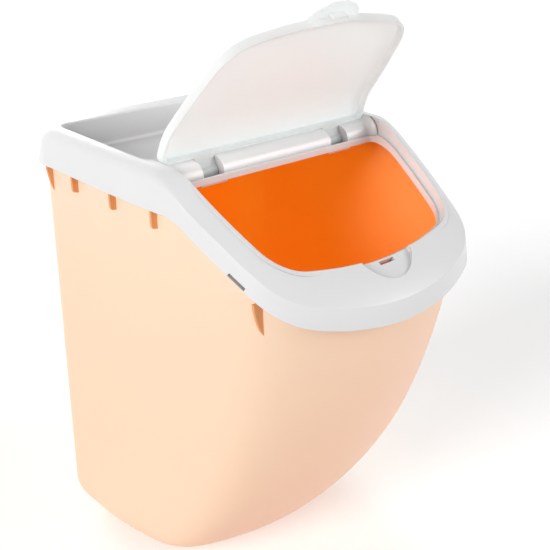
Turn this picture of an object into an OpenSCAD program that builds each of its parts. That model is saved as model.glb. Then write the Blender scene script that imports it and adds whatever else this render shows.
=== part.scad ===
// Rice bin with a flip lid.
// A deep tub, a collar that snaps over its rim, and a lid hinged to the collar on two short pins.
// Frame: X is the width, -Y is the front, +Z is up. The origin is the middle of the bin's
// outline, on the surface it stands on. The lid is drawn open, as it stands at rest.

/* [Overall size] */
// Width over the collar
bin_w = 230; // [200:1:276]
// Depth over the collar
bin_d = 280; // [236:1:336]
// Height from the floor to the level top of the collar
bin_h = 328.5; // [274:0.5:394]

/* [Collar] */
// Wall thickness of the collar
collar_wall = 2.4; // [2:0.1:3]
// Height of the collar's side behind the shoulder
skirt_h = 27; // [24:0.5:32]
// Angle of the sloping front below level
slope = 30.3; // [28:0.1:33]
// Distance from the collar's front to where the level top would meet the slope
shoulder_back = 117.4; // [112:0.1:126]
// Radius of the shoulder between the level top and the slope
shoulder_r = 52; // [40:1:60]
// Distance from the collar's front to where the lower edge starts to fall
hem_back = 108.9; // [100:0.1:114]
// Corner radius of the collar at the rear
collar_rear_r = 27; // [20:1:34]
// Corner radius of the collar at the front
collar_front_r = 46.2; // [38:0.1:50]
// Radius of the gently bowed sides in front of the shoulder
side_bow_r = 487; // [320:1:600]
// Angle that the side's bow turns through
side_bow = 14.1; // [10:0.1:17]
// Radius of the bowed front
front_bow_r = 191; // [170:1:300]
// How far the skirt leans out towards its lower edge
flare = 2.4; // [0.5:0.1:3]
// Width of the rolled edge behind the shoulder
roll_rear = 10.5; // [5:0.5:12]
// Width of the rolled band beside the mouth
roll_side = 19; // [14:0.5:20]
// Width of the rolled band in front of the mouth
roll_front = 25; // [20:0.5:26]
// Drop of the rolled band at its outer edge
roll_drop = 8.3; // [6:0.1:12]

/* [Mouth] */
// Distance from the collar's front to the mouth's front edge
mouth_front = 25.1; // [24:0.1:30]
// Distance from the collar's front to the mouth's rear edge
mouth_back = 128; // [125:0.1:131]
// Width of the mouth at its rear
mouth_w = 194.4; // [170:0.2:198]
// Radius of the mouth's rear corners
mouth_rear_r = 6; // [5:0.5:12]
// Radius of the mouth's front corners
mouth_front_r = 29.6; // [20:0.1:34]
// Radius of the mouth's bowed sides
mouth_side_r = 364; // [250:1:600]
// Angle that the mouth's side bow turns through
mouth_side_a = 13.8; // [8:0.1:18]
// Radius of the mouth's bowed front edge
mouth_bow_r = 292; // [180:1:400]
// How far the mouth's front wall leans out per millimetre of height
mouth_lean = 0.45; // [0.4:0.01:0.6]
// Depth of the seat below the top, at the hinge
seat_rear = 12.2; // [11:0.1:14]
// Depth of the seat below the top, along the slope
seat_slope = 9.4; // [7.5:0.1:10]
// Width of the seat under the lid's rim
seat_w = 2; // [1.5:0.1:3]
// Height of the lower wall under the seat
throat_h = 6; // [4:0.5:8]

/* [Tray] */
// Width of the tray recess behind the lid
tray_w = 201; // [160:1:204]
// Distance from the collar's rear to the tray's rear edge
tray_rear = 24.7; // [18:0.1:30]
// Distance from the collar's front to the tray's front edge
tray_front = 145.4; // [145:0.1:160]
// Depth of the tray
tray_depth = 22.5; // [16:0.5:23]
// Corner radius of the tray
tray_r = 9; // [6:0.5:20]

/* [Tub] */
// Wall thickness of the tub
tub_wall = 2.2; // [1.8:0.1:3]
// Thickness of the tub's floor
tub_floor = 2.4; // [2:0.1:4]
// Gap between the tub's rim and the inside of the collar
rim_gap = 0.4; // [0.3:0.05:0.8]
// Width of the tub's flange
flange_w = 3.4; // [2:0.1:4]
// Thickness of the tub's flange
flange_t = 2.4; // [2:0.1:3]
// Height of the tub's rim above the collar's lower edge
rim_up = 8; // [7:0.5:9]
// Taper of each tub wall towards the floor, in degrees
draft = 0.9; // [0.2:0.1:1.5]
// Radius of the round along the tub's bottom edge
bottom_r = 26; // [16:1:40]
// Extra inset of the tub's front at its rim
tub_front_in = 1.8; // [0:0.1:3]
// Radius of the tub's bowed sides towards the front
tub_side_r = 253; // [220:1:400]
// Radius of the tub's front corners at its rim
tub_front_r = 55; // [44:1:60]
// Radius of the tub's front corners at the floor
tub_front_r_low = 36; // [28:1:44]
// Share of the tub's height at which the front's two long curves meet
belly_share = 0.4; // [0.3:0.01:0.5]
// Lean of the tub's front where its two curves meet, in degrees
belly_lean = 20.6; // [16:0.1:24]
// Lean of the tub's front curve at the floor, in degrees
belly_floor = 48.4; // [40:0.1:50]
// Depth of the hollow under the floor
foot_hollow = 1.5; // [1:0.1:3]
// Width of the rim that the tub stands on
foot_w = 7; // [4:0.5:12]
// Thickness of the gussets
gusset_t = 2.2; // [1.6:0.1:4]
// Height of the small gussets
gusset_h = 14.5; // [8:0.5:18]
// Height of the gussets at the rear corners
rear_gusset_h = 26; // [16:0.5:32]
// Height of the gussets at the front corners
front_gusset_h = 27; // [16:0.5:32]
// Spacing of the small gussets
gusset_pitch = 46; // [36:1:56]

/* [Snaps] */
// Width of the snap windows in the collar's sides
snap_w = 14; // [10:0.5:20]
// Height of the snap windows
snap_h = 2.2; // [2:0.1:3]
// Distance from the collar's front to the middle of the snap windows
snap_y = 57; // [46:1:62]

/* [Lid] */
// Wall thickness of the lid
lid_wall = 2; // [1.6:0.1:2.4]
// Thickness of the lid's rim
lid_rim_t = 2; // [1.6:0.1:3]
// Gap round the lid in the mouth
lid_gap = 1; // [0.8:0.1:1.5]
// Gap between the lid's rim and the seat
seat_gap = 0.5; // [0.4:0.1:1]
// How far the lid's surface lies below the collar's top at the hinge
lid_sink = 4.6; // [3.5:0.1:5.5]
// How far the lid's surface lies below the slope
lid_sink_front = 1; // [0.5:0.1:2]
// Radius of the bend in the lid
lid_bend_r = 55; // [40:1:70]
// Angle that the lid stands open at rest, from closed
lid_open = 83; // [60:1:86]

/* [Latch] */
// Width of the finger tab on the lid
tab_w = 45; // [30:1:56]
// How far the tab stands out from the lid's front edge
tab_len = 9.5; // [7:0.5:10]
// Gap between the tab and the notch
tab_gap = 1; // [0.6:0.1:2]
// Depth of the finger notch below the slope
notch_depth = 4.4; // [4:0.1:5.5]
// How far the notch reaches out from the mouth's front edge
notch_len = 13; // [12.5:0.5:14]
// Width of the latch hook
hook_w = 13; // [8:0.5:20]
// Distance from the mouth's front edge to the latch hook
hook_out = 1.6; // [1.4:0.1:3]
// Thickness of the latch hook
hook_t = 1.8; // [1.4:0.1:2.6]
// Length of the latch hook below the tab
hook_len = 8; // [6:0.5:9]
// Gap round the hook in its slot
hook_gap = 0.5; // [0.4:0.1:1]

/* [Hinge] */
// Diameter of the hinge pins
pin_d = 3; // [2.5:0.1:4]
// Radial clearance between the pins and the lid's knuckles
pin_gap = 0.08; // [0.02:0.01:0.1]
// Outer diameter of the knuckles
knuckle_d = 7.8; // [7:0.1:8.6]
// Width of each knuckle
knuckle_w = 16.5; // [10:0.5:20]
// Distance between the knuckles' middles
knuckle_span = 121; // [80:1:140]
// Gap on each side of a knuckle in its pocket
knuckle_gap = 0.6; // [0.4:0.1:1.2]
// Distance from the hinge axis to the mouth's rear edge and to the crossbar's top
axis_in = 9.5; // [9:0.1:10]
// How far the crossbar's top lies below the collar's level top
bar_drop = 4.2; // [3:0.1:5]
// Length of the pin seated in each pocket wall
pin_seat = 2.4; // [1.5:0.1:3]

/* [Hidden] */
$fn = 64;

// ends of the outline
rear_y = bin_d / 2;
front_y = -bin_d / 2;
half_w = bin_w / 2;

hem_bend_r = 30;

// side profiles: [y where level meets slope, level height, fillet radius]
top_line = [front_y + shoulder_back, bin_h, shoulder_r];
hem_z = bin_h - skirt_h;
hem_line = [front_y + hem_back, hem_z, hem_bend_r];
seat_line = [top_line[0] - (seat_rear - seat_slope) / tan(slope), bin_h - seat_rear, shoulder_r];
lid_line = [top_line[0] - (lid_sink - lid_sink_front) / tan(slope), bin_h - lid_sink, lid_bend_r];

// hinge axis
axis_y = front_y + mouth_back + axis_in;
axis_z = bin_h - bar_drop - axis_in;
pocket_w = knuckle_w + 2 * knuckle_gap;
pocket_r = knuckle_d / 2 + 1;
pocket_wall = pin_seat + 0.2;
pocket_floor = 1.4;

// how far the tab and its notch run back behind the mouth's front edge
tail = 22;

// facets
corner_n = 6;
side_n = 14;
bow_n = 5;
bend_n = 8;

function mix(a, b, t) = a + (b - a) * t;
function smooth(t) = let (c = min(max(t, 0), 1)) c * c * (3 - 2 * c);

// Height of a side profile at y: level behind, falling at the slope in front, joined by a fillet
function bend_z(l, y) =
    let (start = l[0] + l[2] * tan(slope / 2), end = start - l[2] * sin(slope))
    y > start ? l[1]
    : y > end ? l[1] - l[2] + sqrt(pow(l[2], 2) - pow(start - y, 2))
    : l[1] - (l[0] - y) * tan(slope);

// The same profile as points from the rear to the front, lowered by dz
function bend_pts(l, dz = 0) = concat(
    [[rear_y + 20, l[1] - dz]],
    [for (i = [0:bend_n]) let (a = slope * i / bend_n)
        [l[0] + l[2] * (tan(slope / 2) - sin(a)), l[1] - l[2] * (1 - cos(a)) - dz]],
    [[front_y - 20, l[1] - (l[0] - front_y + 20) * tan(slope) - dz]]);

// Right half of an outline, from the rear corner to the middle of the front, as
// [x, y, direction of the outward normal]. p = [half width, rear y, front y, rear corner
// radius, side radius, side turn, front corner radius, front bow radius]
function half_plan(p) =
    let (w = p[0], rr = p[3], rs = p[4], al = p[5], rf = p[6], rb = p[7],
         fx = w - rs + (rs - rf) * cos(al),
         be = acos(fx / (rb - rf)),
         fy = p[2] + rb - (rb - rf) * sin(be),
         sy = fy + (rs - rf) * sin(al),
         ry = p[1] - rr,
         ph = ry > sy ? 0 : asin((sy - ry) / (rs - rr)),
         rx = w - rs + (rs - rr) * cos(ph))
    concat(
        [for (i = [0:corner_n]) let (a = mix(90, -ph, i / corner_n))
            [rx + rr * cos(a), ry + rr * sin(a), a]],
        [for (i = [0:side_n])
            let (a = mix(-ph, -al, ry > sy ? i / side_n : (i + 1) / (side_n + 1)))
            [w - rs + rs * cos(a), sy + rs * sin(a), a]],
        [for (i = [1:corner_n]) let (a = mix(-al, -be, i / corner_n))
            [fx + rf * cos(a), fy + rf * sin(a), a]],
        [for (i = [1:bow_n]) let (a = mix(-be, -90, i / bow_n))
            [rb * cos(a), p[2] + rb + rb * sin(a), a]]);

// A closed ring from a half: the right half, then its mirror image
function ring(h) = concat(h, [for (i = [len(h) - 2:-1:0])
    [for (j = [0:len(h[i]) - 1]) j == 0 ? -h[i][0] : h[i][j]]]);

// Flat outline moved out by o
function plan(p, o = 0) =
    ring([for (q = half_plan(p)) [q[0] + o * cos(q[2]), q[1] + o * sin(q[2])]]);

// The same outline laid on a side profile, dz below it
function lined(p, o, l, dz) =
    ring([for (q = half_plan(p)) let (y = q[1] + o * sin(q[2]))
        [q[0] + o * cos(q[2]), y, bend_z(l, y) - dz]]);

collar_plan = [half_w, rear_y, front_y, collar_rear_r, side_bow_r, side_bow,
    collar_front_r, front_bow_r];

// Outline of the mouth at h above its seat
function mouth_at(h) = [mouth_w / 2, front_y + mouth_back,
    front_y + mouth_front + mouth_lean * (seat_slope - h), mouth_rear_r,
    mouth_side_r, mouth_side_a, mouth_front_r, mouth_bow_r];

// Closed skin through mirror-symmetric rings, the lowest first, with caps of cross strips
module loft(rings) {
    n = len(rings[0]);
    m = (n - 1) / 2;
    last = (len(rings) - 1) * n;
    sides = [for (k = [0:len(rings) - 2], i = [0:n - 1])
        let (a = k * n + i, b = k * n + (i + 1) % n)
        each [[a, b, b + n], [a, b + n, a + n]]];
    strips = [for (i = [0:m - 1])
        i == m - 1 ? [m - 1, m, m + 1] : [i, i + 1, n - i - 2, n - i - 1]];
    top = [for (f = strips) [for (v = f) v + last]];
    bottom = [for (f = strips) [for (j = [len(f) - 1:-1:0]) f[j]]];
    polyhedron([for (r = rings) each r], concat(sides, top, bottom), convexity = 6);
}

// Solid between two side profiles, across the whole width
module band(upper, lower) {
    rotate([90, 0, 90])
        linear_extrude(bin_w + 20, center = true)
            polygon(concat(upper, [for (i = [len(lower) - 1:-1:0]) lower[i]]));
}

// Upright prism over an outline
module prism(outline, z0, z1) {
    translate([0, 0, z0])
        linear_extrude(z1 - z0)
            polygon(outline);
}

// Rectangle with round corners
module slab(x, y0, y1, r, z0, z1) {
    translate([0, 0, z0])
        linear_extrude(z1 - z0)
            polygon([for (c = [[x - r, y1 - r, 0], [r - x, y1 - r, 90],
                               [r - x, y0 + r, 180], [x - r, y0 + r, 270]],
                          i = [0:corner_n])
                let (a = c[2] + 90 * i / corner_n)
                [c[0] + r * cos(a), c[1] + r * sin(a)]]);
}

// One shape on each side, at half the given span
module pair(span) {
    for (s = [-1, 1])
        translate([s * span / 2, 0, 0])
            children();
}

// Round bar on the hinge axis
module axle(d, w) {
    translate([0, axis_y, axis_z])
        rotate([0, 90, 0])
            cylinder(d = d, h = w, center = true);
}

// Turn about the hinge axis
module turned(a) {
    translate([0, axis_y, axis_z])
        rotate([a, 0, 0])
            translate([0, -axis_y, -axis_z])
                children();
}

// ---- collar -------------------------------------------------------------------------------

// The rolled edge widens over these lengths: where the top starts to slope, and at the front
widen_from = 12;
widen_len = 34;
front_from = 60;
front_len = 50;
// How quickly the band's fall grows towards its outer edge
roll_curve = 1.6;

// How far a point of the outline is along the change from level top to slope, and to the front
function on_slope(y) = smooth((top_line[0] + widen_from - y) / widen_len);
function on_front(y) = smooth((front_y + front_from - y) / front_len);

// Fractions across the rolled edge, from outside to inside
roll_steps = [0, 0.06, 0.16, 0.3, 0.5, 0.75, 1];

// One point of the collar's skin: q is an outline point, u the fraction across the roll,
// t the inset that makes the inside
function skin_pt(q, u, t) =
    let (s = on_slope(q[1]),
         w = mix(mix(roll_rear, roll_side, s), roll_front, on_front(q[1])),
         d = flare + w * u + t,
         y = q[1] - d * sin(q[2]),
         level_drop = roll_rear * (1 - sqrt(1 - pow(1 - u, 2))),
         slope_drop = roll_drop * pow(1 - u, roll_curve))
    [q[0] - d * cos(q[2]), y, bend_z(top_line, y) - mix(level_drop, slope_drop, s) - t];

// Solid under the collar's skin, or with t the space inside its wall
module skin(t = 0) {
    h = half_plan(collar_plan);
    hem = [for (q = h)
        [q[0] - t * cos(q[2]), q[1] - t * sin(q[2]), bend_z(hem_line, q[1]) - (t > 0 ? 4 : 0)]];
    loft(concat([ring(hem)], [for (u = roll_steps) ring([for (q = h) skin_pt(q, u, t)])]));
}

// Walls that join the skin from beneath stop this far below its surface
under = 1.6;

// Walls and seat round the mouth, before it is cut
module mouth_walls() {
    loft([lined(mouth_at(-collar_wall), collar_wall, seat_line, collar_wall),
          lined(mouth_at(seat_slope), collar_wall, top_line, under)]);
    intersection() {
        prism(plan(mouth_at(0), collar_wall - seat_w), bin_h - 120, bin_h);
        band(bend_pts(seat_line, 1), bend_pts(seat_line, throat_h));
    }
}

// How far the cut through the mouth runs on above the top
cut_up = 14;

module mouth_cut() {
    prism(plan(mouth_at(0), -seat_w), bin_h - 140, bin_h + 10);
    loft([lined(mouth_at(0), 0, seat_line, 0),
          lined(mouth_at(seat_slope + cut_up), 0, top_line, -cut_up)]);
}

// The mouth's rear edge as [distance from the hinge axis, x], grown by o: its left half, then
// its right half
function rear_edge(o) =
    let (h = [for (q = half_plan(mouth_at(seat_slope))) if (q[2] >= 0) [axis_y - q[1] + o, q[0]]])
    concat([for (i = [len(h) - 1:-1:0]) [h[i][0], -h[i][1]]], h);

// The crossbar's front and top, grown by o. In front it is turned about the hinge axis, so the
// lid's rear edge swings round it; behind the axis it runs level into the tray, far enough
// that the open lid clears the tray's round corners
bar_back = front_y + tray_front + 3;

module bar(o) {
    edge = rear_edge(o);
    ends = [[0, edge[len(edge) - 1][1]], [0, edge[0][1]]];
    translate([0, axis_y, axis_z]) {
        rotate([0, 90, 0])
            rotate_extrude()
                polygon(concat(edge, ends));
        rotate([90, 0, 180])
            linear_extrude(bar_back + 1 - axis_y)
                polygon([for (e = concat(edge, ends)) [e[1], e[0]]]);
    }
}

// The space above and in front of the hinge axis, back to the tray
module bar_space(up) {
    depth = axis_in + mouth_rear_r;
    translate([-mouth_w / 2, axis_y - depth, axis_z])
        cube([mouth_w, bar_back - axis_y + depth, bin_h - axis_z + up]);
}

// Curved plate that carries the crossbar's front over into its top
module bar_plate() {
    intersection() {
        difference() {
            bar(0);
            bar(-collar_wall);
        }
        bar_space(-under);
    }
}

// Pocket for one knuckle, its walls grown by o and its floor by down
module pocket(o, down, top) {
    y0 = axis_y - axis_in - 0.2;
    y1 = axis_y + pocket_r + o;
    z0 = axis_z - pocket_r - down;
    translate([-pocket_w / 2 - o, y0, z0])
        cube([pocket_w + 2 * o, y1 - y0, top - z0]);
}

// Half-moon outline over the mouth's front edge: w wide, len deep, grown by o, with a tail
// running back under the lid
module tab_outline(len, w, o, z0, z1) {
    y0 = front_y + mouth_front;
    r = (pow(w / 2, 2) + pow(len, 2)) / (2 * len);
    turn = asin(w / 2 / r);
    translate([0, 0, z0])
        linear_extrude(z1 - z0)
            polygon(concat(
                [[w / 2 + o, y0 + tail]],
                [for (i = [0:12]) let (a = mix(turn, -turn, i / 12))
                    [(r + o) * sin(a), y0 + r - len - (r + o) * cos(a)]],
                [[-w / 2 - o, y0 + tail]]));
}

module notch() {
    intersection() {
        tab_outline(notch_len - tab_gap, tab_w, tab_gap, bin_h - 140, bin_h);
        band(bend_pts(top_line, -12), bend_pts(top_line, notch_depth));
    }
}

// Floor and walls under the notch
module notch_floor() {
    intersection() {
        difference() {
            tab_outline(notch_len - tab_gap, tab_w, tab_gap + collar_wall, bin_h - 140, bin_h);
            translate([-half_w, front_y + mouth_front + 2, bin_h - 141])
                cube([bin_w, 40, 142]);
        }
        band(bend_pts(top_line, 1), bend_pts(top_line, notch_depth + collar_wall));
        skin();
    }
}

// The hook and its slot lie on an arc about the hinge axis, so the hook leaves without rubbing
hook_y = front_y + mouth_front - hook_out;
hook_r = norm([axis_y - hook_y, axis_z - bend_z(top_line, hook_y)]);
hook_a = atan2(axis_z - bend_z(top_line, hook_y), axis_y - hook_y);

// The slot runs this far below and above the slope, and the hook starts this far below it
slot_down = 14;
slot_up = 2;
hook_sunk = 0.8;

module on_arc(w, t, down, up) {
    turned(hook_a)
        translate([-w / 2, axis_y - hook_r - t / 2, axis_z - down])
            cube([w, t, down + up]);
}

// The windows cut through the side walls, this far in and this far above the lower edge
snap_in = 12;
snap_up = 2.2;

module snap_windows() {
    y = front_y + snap_y;
    for (s = [-1, 1])
        translate([s * (half_w - snap_in), y, bend_z(hem_line, y) + snap_up])
            rotate([slope, 0, 0])
                cube([2 * snap_in, snap_w, snap_h], center = true);
}

module collar() {
    color([0.95, 0.95, 0.95])
        difference() {
            union() {
                difference() {
                    skin();
                    skin(collar_wall);
                }
                mouth_walls();
                bar_plate();
                slab(tray_w / 2 + collar_wall, front_y + tray_front - collar_wall,
                    rear_y - tray_rear + collar_wall, tray_r + collar_wall,
                    bin_h - tray_depth - collar_wall, bin_h - under);
                pair(knuckle_span) pocket(pocket_wall, pocket_floor, bin_h - under);
                notch_floor();
            }
            mouth_cut();
            difference() {
                bar_space(2);
                bar(0);
            }
            slab(tray_w / 2, front_y + tray_front, rear_y - tray_rear, tray_r,
                bin_h - tray_depth, bin_h + 10);
            pair(knuckle_span) pocket(0, 0, bin_h + 10);
            pair(knuckle_span) axle(pin_d, pocket_w + 2 * pocket_wall + 1);
            notch();
            on_arc(hook_w + 2 * hook_gap, hook_t + 2 * hook_gap, slot_down, slot_up);
            snap_windows();
        }
}

// ---- tub ----------------------------------------------------------------------------------

// Inset of the tub from the collar's outline at the rim
tub_in = collar_wall + rim_gap + flange_w;

// Two long curves carry the front down to the floor: how far it has come in at height z
meet_z = belly_share * hem_z;
belly_r = (hem_z - meet_z) / sin(belly_lean);
belly_low_r = meet_z / (sin(belly_floor) - sin(belly_lean));

function belly(z) =
    let (high = min(max(hem_z - z, 0), hem_z - meet_z), low = max(meet_z - z, 0))
    belly_r - sqrt(pow(belly_r, 2) - pow(high, 2))
    + belly_low_r * (cos(belly_lean) - sqrt(1 - pow(sin(belly_lean) + low / belly_low_r, 2)));

// Outline of the tub at height z, moved in by t
function tub_plan(z, t) =
    let (down = max(1 - z / hem_z, 0),
         low = max(bottom_r - z, 0),
         round_in = bottom_r - sqrt(pow(bottom_r, 2) - pow(low, 2)),
         in = tub_in + down * hem_z * tan(draft) + round_in + t)
    [half_w - in, rear_y - in, front_y + in + tub_front_in + belly(z),
     max(collar_rear_r - tub_in - t, 4), tub_side_r, side_bow,
     mix(tub_front_r, tub_front_r_low, down), front_bow_r];

tub_steps = [for (f = [0, 0.004, 0.013, 0.028, 0.05, 0.086, 0.15, 0.23, 0.31, 0.4,
    0.5, 0.6, 0.7, 0.8, 0.9, 1]) f * hem_z];

module tub_solid(t, floor_z) {
    loft([for (z = concat(tub_steps, [bin_h]))
        [for (q = ring(half_plan(tub_plan(z, t)))) [q[0], q[1], max(z, floor_z)]]]);
}

// Space inside the collar for the tub's rim, its top t deep
module rim_space(t) {
    intersection() {
        skin(collar_wall + rim_gap);
        band(bend_pts(hem_line, -rim_up), bend_pts(hem_line, t - rim_up));
    }
}

// Upright rib under the collar's edge at y, w out from the middle, tapering in by reach over h
module gusset(w, y, h, reach) {
    x0 = w - gusset_in;
    z0 = bend_z(hem_line, y - gusset_t) - gusset_gap;
    for (s = [0, 1])
        mirror([s, 0, 0])
            translate([0, y + gusset_t / 2, z0])
                rotate([90, 0, 0])
                    linear_extrude(gusset_t)
                        polygon(concat([for (k = gusset_steps) [x0 - reach * k[0], -h * k[1]]],
                            [[x0 - reach - gusset_root, -h], [x0 - reach - gusset_root, 0]]));
}

// A gusset's curved edge as [share of its reach, share of its height], and how far its root
// runs into the tub's wall
gusset_steps = [[0, 0], [0.14, 0.3], [0.36, 0.6], [0.6, 0.82], [0.9, 1]];
gusset_root = 3;
// How far the gussets stay inside the collar's outline, and below its lower edge
gusset_in = 1.4;
gusset_gap = 0.4;

// Where the gussets stand
gusset_y = -11.5;
rear_gusset_y = rear_y - collar_rear_r;
front_gusset_y = front_y + 44;
front_gusset_w = half_w - 13;

module tub() {
    color([1, 0.83, 0.69, 0.75])
        difference() {
            union() {
                intersection() {
                    tub_solid(0, 0);
                    union() {
                        band(bend_pts(hem_line, 1), [[rear_y + 20, -1], [front_y - 20, -1]]);
                        rim_space(rim_up + 10);
                    }
                }
                rim_space(flange_t);
                for (i = [0:2])
                    gusset(half_w, gusset_y + i * gusset_pitch, gusset_h, tub_in + 3);
                gusset(half_w, rear_gusset_y, rear_gusset_h, tub_in + 4);
                gusset(front_gusset_w, front_gusset_y, front_gusset_h, tub_in + 7);
            }
            tub_solid(tub_wall, foot_hollow + tub_floor);
            prism(plan(tub_plan(0, foot_w)), -1, foot_hollow);
        }
}

// ---- lid ----------------------------------------------------------------------------------

lid_top = seat_slope - lid_sink_front;

// Block of the closed lid's outline, o inside it, from dz below the rim's edge to dt below the top
module lid_block(o, dz, dt) {
    loft([lined(mouth_at(seat_gap - dz), -lid_gap - o, seat_line, dz - seat_gap),
          lined(mouth_at(lid_top - dt), -lid_gap - o, lid_line, dt)]);
}

// Finger tab with its rim
module tab() {
    intersection() {
        tab_outline(tab_len, tab_w, 0, bin_h - 120, bin_h);
        band(bend_pts(lid_line), bend_pts(lid_line, lid_wall));
    }
}

// The arm's underside is level for this length behind the rim
arm_foot = 2.2;

// Arm from a knuckle to the lid's rim: u runs forward from the axis, v up
module arm() {
    rim_u = -axis_in - lid_gap;
    rim_v = bin_h - seat_rear + seat_gap - axis_z;
    translate([-knuckle_w / 2, axis_y, axis_z])
        rotate([90, 0, 90])
            linear_extrude(knuckle_w)
                polygon([[0, knuckle_d / 2], [rim_u - lid_rim_t, knuckle_d / 2],
                         [rim_u - lid_rim_t, rim_v], [rim_u + arm_foot, rim_v],
                         [0, -knuckle_d / 2]]);
    axle(knuckle_d, knuckle_w);
}

// Lid in its closed place
module closed_lid() {
    difference() {
        union() {
            difference() {
                lid_block(0, 0, 0);
                lid_block(lid_rim_t, 8, lid_wall);
            }
            tab();
            on_arc(hook_w, hook_t, hook_len, -hook_sunk);
            pair(knuckle_span) arm();
        }
        pair(knuckle_span) axle(pin_d + 2 * pin_gap, knuckle_w + 2);
    }
}

module flip_lid() {
    color([0.95, 0.94, 0.92, 0.8])
        turned(-lid_open)
            closed_lid();
}

// ---- hinge pins ---------------------------------------------------------------------------

module hinge_pin(side) {
    color([0.8, 0.8, 0.8])
        translate([side * knuckle_span / 2, 0, 0])
            axle(pin_d, pocket_w + 2 * pin_seat);
}

tub();
collar();
flip_lid();
hinge_pin(-1);  // hinge_pin_left
hinge_pin(1);  // hinge_pin_right
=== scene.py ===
"""Rice bin with a flip lid: fine visual pieces on the pack, materials, floor, light, camera."""

import math

import bmesh
import bpy
from mathutils import Matrix, Vector

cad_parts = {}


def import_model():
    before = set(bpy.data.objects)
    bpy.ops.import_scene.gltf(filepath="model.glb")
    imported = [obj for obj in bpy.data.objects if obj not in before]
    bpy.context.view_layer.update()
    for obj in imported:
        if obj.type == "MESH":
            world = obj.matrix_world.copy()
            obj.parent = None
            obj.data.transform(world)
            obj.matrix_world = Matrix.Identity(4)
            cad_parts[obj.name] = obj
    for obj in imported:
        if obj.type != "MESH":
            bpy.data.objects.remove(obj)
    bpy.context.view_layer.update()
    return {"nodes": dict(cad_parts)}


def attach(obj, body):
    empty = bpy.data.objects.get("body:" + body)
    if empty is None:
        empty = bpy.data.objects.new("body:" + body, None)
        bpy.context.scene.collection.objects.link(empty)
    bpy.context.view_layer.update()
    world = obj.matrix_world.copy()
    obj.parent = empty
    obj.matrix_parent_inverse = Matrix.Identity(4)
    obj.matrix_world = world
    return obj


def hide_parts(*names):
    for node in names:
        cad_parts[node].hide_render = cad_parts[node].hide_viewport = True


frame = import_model()
scene = bpy.context.scene


# ---- sizes, as in the part's own construction, in millimetres ------------------------------------

BIN_W, BIN_D, BIN_H = 230.0, 280.0, 328.5
COLLAR_WALL, SKIRT_H, SLOPE = 2.4, 27.0, math.radians(30.3)
ROLL_REAR, ROLL_SIDE, ROLL_FRONT, ROLL_DROP, FLARE, ROLL_CURVE = 10.5, 19.0, 25.0, 8.3, 2.4, 1.6
MOUTH_FRONT, MOUTH_BACK, MOUTH_W, MOUTH_LEAN = 25.1, 128.0, 194.4, 0.45
SEAT_REAR, SEAT_SLOPE, SEAT_W, THROAT_H, UNDER = 12.2, 9.4, 2.0, 6.0, 1.6
TRAY_W, TRAY_REAR, TRAY_FRONT, TRAY_DEPTH, TRAY_R = 201.0, 24.7, 145.4, 22.5, 9.0
TUB_WALL, TUB_FLOOR, RIM_GAP, FLANGE_W, FLANGE_T, RIM_UP = 2.2, 2.4, 0.4, 3.4, 2.4, 8.0
DRAFT, BOTTOM_R, FOOT_HOLLOW, FOOT_W = math.radians(0.9), 26.0, 1.5, 7.0
BELLY_SHARE, BELLY_LEAN, BELLY_FLOOR = 0.4, math.radians(20.6), math.radians(48.4)
LID_WALL, LID_RIM, LID_GAP, SEAT_GAP, LID_SINK, LID_SINK_FRONT = 2.0, 2.0, 1.0, 0.5, 4.6, 1.0
LID_OPEN = 83.0
TAB_W, TAB_LEN, TAB_GAP, NOTCH_DEPTH, NOTCH_LEN, TAIL = 45.0, 9.5, 1.0, 4.4, 13.0, 22.0
HOOK_W, HOOK_OUT, HOOK_T, HOOK_LEN, HOOK_GAP, HOOK_SUNK = 13.0, 1.6, 1.8, 8.0, 0.5, 0.8
SLOT_DOWN, SLOT_UP = 14, 2
PIN_D, PIN_GAP, KNUCKLE_D, KNUCKLE_W, KNUCKLE_SPAN = 3.0, 0.08, 7.8, 16.5, 121.0
KNUCKLE_GAP, AXIS_IN, BAR_DROP, BAR_REACH, PIN_SEAT, ARM_FOOT = 0.6, 9.5, 4.2, 6.0, 2.4, 2.2
GUSSET_T, GUSSET_ROOT, GUSSET_IN, GUSSET_GAP = 2.2, 3.0, 1.4, 0.4
# small round edges
HEM_ROUND, MOUTH_ROUND, TRAY_ROUND, TRAY_COVE, TAB_ROUND = 0.9, 1.1, 1.2, 3, 0.7
LID_ROUND, LID_ROUND_IN = 1.0, 0.8

REAR, FRONT, HALF_W = BIN_D / 2, -BIN_D / 2, BIN_W / 2
HEM_Z = BIN_H - SKIRT_H
MOUTH_Y = FRONT + MOUTH_FRONT
# side profiles: y where the level meets the slope, level height, fillet radius
TOP_LINE = (FRONT + 117.4, BIN_H, 52.0)
HEM_LINE = (FRONT + 108.9, HEM_Z, 30.0)
SEAT_LINE = (TOP_LINE[0] - (SEAT_REAR - SEAT_SLOPE) / math.tan(SLOPE), BIN_H - SEAT_REAR, 52.0)
LID_LINE = (TOP_LINE[0] - (LID_SINK - LID_SINK_FRONT) / math.tan(SLOPE), BIN_H - LID_SINK, 55.0)
AXIS_Y, AXIS_Z = FRONT + MOUTH_BACK + AXIS_IN, BIN_H - BAR_DROP - AXIS_IN
BAR_BACK = FRONT + TRAY_FRONT + 3
POCKET_W = KNUCKLE_W + 2 * KNUCKLE_GAP
POCKET_R, POCKET_WALL, POCKET_FLOOR = KNUCKLE_D / 2 + 1, PIN_SEAT + 0.2, 1.4
TUB_IN = COLLAR_WALL + RIM_GAP + FLANGE_W
LID_TOP = SEAT_SLOPE - LID_SINK_FRONT
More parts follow.
